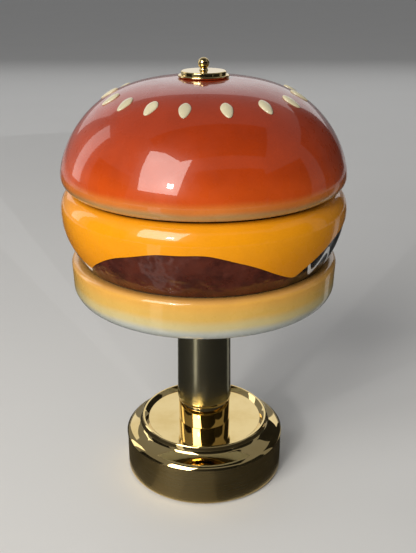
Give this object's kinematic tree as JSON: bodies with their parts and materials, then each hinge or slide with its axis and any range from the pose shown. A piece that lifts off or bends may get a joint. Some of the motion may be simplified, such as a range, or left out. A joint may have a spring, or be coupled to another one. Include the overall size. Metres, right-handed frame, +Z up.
{
  "type": "table lamp",
  "caption": "Cordless table lamp with a glossy glass shade shaped like a hamburger, on a brass stem and a round stepped brass base, with a screw-on finial.",
  "frame": {"origin": "middle of the foot, on the surface the lamp stands on", "axes": "+Z up along the stem, -Y to the front, +X to the right seen from the front"},
  "size_m": [0.165, 0.165, 0.2598],
  "materials": {
    "brushed_brass": "fine brushed brass",
    "polished_brass": "mirror-polished brass",
    "bun_glass": "glossy painted glass, terracotta fading to beige",
    "bun_base_glass": "glossy painted glass, tan fading to pale grey",
    "patty_glass": "glossy dark brown glass with black side panels",
    "cheese_glass": "glossy yellow-orange glass",
    "seed_glass": "glossy cream glass",
    "black_rubber": "matt",
    "cast_iron": "as cast",
    "black_plastic": "matt moulded",
    "board_green": "solder mask",
    "part_grey": "moulded components",
    "steel": "zinc-plated",
    "cell_wrap": "heat-shrink wrap",
    "lead_white": "insulation",
    "aluminium": "satin",
    "board_white": "white solder mask",
    "chip_yellow": "phosphor",
    "opal": "opal",
    "clear_light": "clear light pipe"
  },
  "bodies": {
    "stand": {"base_drum": "brushed_brass", "base_ring": "polished_brass", "base_plate": "polished_brass", "ballast": "cast_iron", "bottom_cover": "black_plastic", "cover_screws": "steel", "foot_pad": "black_rubber", "control_board": "board_green", "board_components": "part_grey", "usb_socket": "steel", "port_bezel": "black_plastic", "charge_light": "clear_light", "button_housing": "polished_brass", "button_nut": "steel", "button_spring": "steel", "stem_collar": "polished_brass", "stem_nut": "steel", "tube_ferrule": "polished_brass", "stem_tube": "brushed_brass", "stem_head": "polished_brass", "lower_cell_cup": "black_plastic", "battery_cell": "cell_wrap", "upper_cell_cup": "black_plastic", "battery_lead": "lead_white", "lamp_lead": "lead_white", "shade_tray": "polished_brass", "tray_screws": "steel", "seat_gasket": "black_rubber", "heat_sink": "aluminium", "led_boards": "board_white", "led_chips": "chip_yellow", "diffuser": "opal", "shade_rod": "steel", "rod_nut": "steel"},
    "shade": {"bottom_bun": "bun_base_glass", "lower_gasket": "black_rubber", "patty_ring": "patty_glass", "cheese_slice": "cheese_glass", "upper_gasket": "black_rubber", "top_bun": "bun_glass", "sesame_seeds": "seed_glass"},
    "finial_washer": {"crown_washer": "black_rubber"},
    "finial": {"finial_cap": "polished_brass", "finial_knob": "polished_brass"},
    "power_button": {"power_button": "polished_brass"}
  },
  "joints": [
    {"name": "shade_lift", "type": "slide", "parent": "stand", "child": "shade", "axis": [0, 0, 1], "range_m": [0, 0.13]},
    {"name": "finial_lift", "type": "slide", "parent": "shade", "child": "finial_washer", "axis": [0, 0, 1], "range_m": [0, 0.006]},
    {"name": "finial_turn", "type": "hinge", "parent": "finial_washer", "child": "finial", "pos_m": [0, 0, 0.25], "axis": [0, 0, 1], "range_deg": [0, 2160]},
    {"name": "button_press", "type": "slide", "parent": "stand", "child": "power_button", "axis": [-0.4695, -0.8829, 0], "range_m": [0, 0.0015], "stiffness_N_per_m": 400, "springref_m": -0.002, "deforming": ["button_spring"]}
  ],
  "couplings": [
    {"joint": "finial_lift", "follows": "finial_turn", "m_per_rad": 0.00015915}
  ]
}
